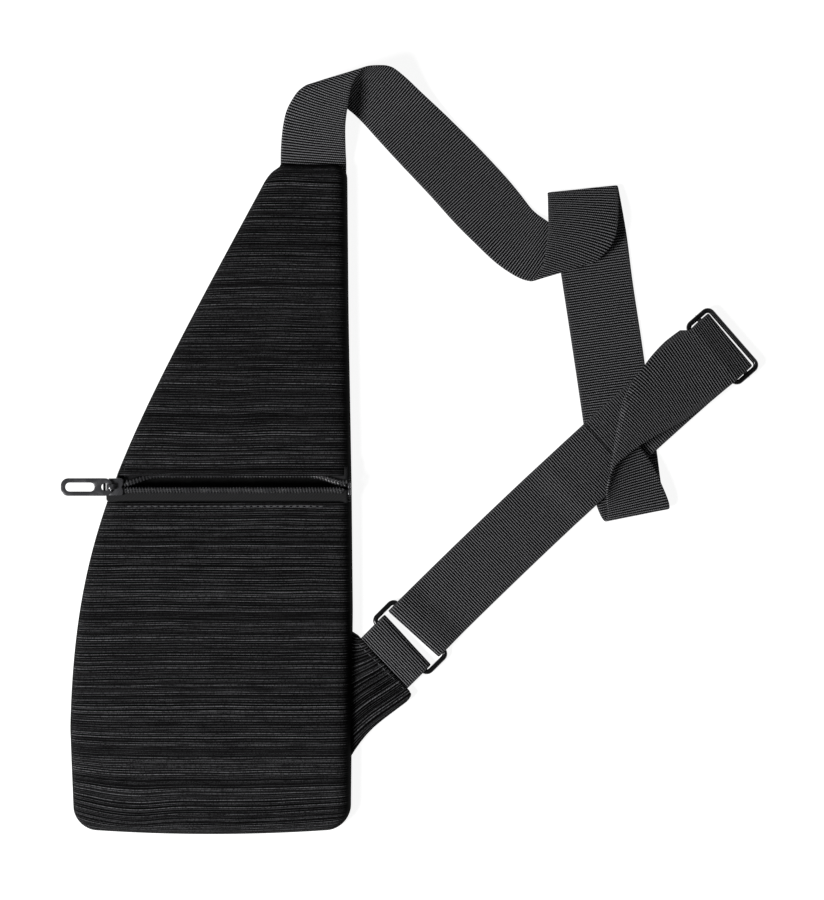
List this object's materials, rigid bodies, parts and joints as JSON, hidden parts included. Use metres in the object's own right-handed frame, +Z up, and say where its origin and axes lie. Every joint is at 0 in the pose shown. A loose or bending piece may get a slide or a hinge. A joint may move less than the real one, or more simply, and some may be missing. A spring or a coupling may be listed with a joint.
{
  "type": "sling bag",
  "caption": "Tapered flat sling bag lying on its back, with an open front zip and a folded webbing strap on a wire ring and adjuster.",
  "frame": {"origin": "middle of the bag's back face, where it rests, halfway along its length and its lower width", "axes": "+Z up out of the front, +Y towards the end where the strap is sewn on, +X across the bag towards the wing tab"},
  "size_m": [0.3805, 0.4196, 0.0243],
  "materials": {
    "striped_fabric": "matte woven fabric with thin irregular grey stripes across",
    "back_fabric": "matte woven fabric",
    "lining": "thin smooth lining",
    "webbing": "woven webbing with fine cross ribs, slight sheen",
    "zip_tape": "fine twill tape",
    "zip_coil": "satin coil",
    "thread": "spun thread",
    "slider_metal": "glossy gunmetal",
    "hardware": "glossy black coating"
  },
  "bodies": {
    "bag": {"back_panel": "back_fabric", "back_padding": "lining", "back_lining": "lining", "front_lower_panel": "striped_fabric", "front_lower_lining": "lining", "front_upper_panel": "striped_fabric", "front_upper_lining": "lining", "zip_tape_lower": "zip_tape", "zip_coil_lower": "zip_coil", "zip_bottom_stop": "hardware", "zip_top_stops": "hardware", "lip_topstitch": "thread", "wing_tab_front": "striped_fabric", "wing_tab_back": "back_fabric", "wing_stitching": "thread", "anchor_webbing": "webbing", "strap_top_run": "webbing", "strap_middle_run": "webbing", "strap_front_run": "webbing", "strap_adjuster_pass": "webbing", "strap_ring_loop": "webbing", "strap_sewn_end": "webbing"},
    "zip_lip": {"zip_tape_upper": "zip_tape", "zip_coil_upper": "zip_coil"},
    "zip_slider": {"slider_body": "slider_metal", "slider_bridge": "slider_metal"},
    "puller": {"zip_puller": "hardware"},
    "ring": {"rectangular_ring": "hardware"},
    "adjuster": {"adjuster_frame": "hardware", "adjuster_bar": "hardware"}
  },
  "joints": [
    {"name": "zip_slide", "type": "slide", "parent": "bag", "child": "zip_slider", "axis": [1, 0, 0], "range_m": [0, 0.116]},
    {"name": "lip_close", "type": "slide", "parent": "bag", "child": "zip_lip", "axis": [0, -0.6, 0.8], "range_m": [0, 0.00783], "deforming": ["zip_tape_upper", "zip_coil_upper"]},
    {"name": "puller_swing", "type": "hinge", "parent": "zip_slider", "child": "puller", "pos_m": [-0.0534, 0.0071, 0.0175], "axis": [0, 1, 0], "range_deg": [0, 165]},
    {"name": "ring_swing", "type": "hinge", "parent": "bag", "child": "ring", "pos_m": [0.10341, -0.08109, 0.0033], "axis": [0.7071, -0.7071, 0], "range_deg": [0, 50], "deforming": ["strap_ring_loop"]},
    {"name": "adjuster_slide", "type": "slide", "parent": "bag", "child": "adjuster", "axis": [-0.7547, -0.6561, 0], "range_m": [0, 0.012], "deforming": ["strap_front_run", "strap_adjuster_pass", "strap_sewn_end"]}
  ],
  "couplings": [
    {"joint": "lip_close", "follows": "zip_slide", "ratio": 0.067499}
  ]
}
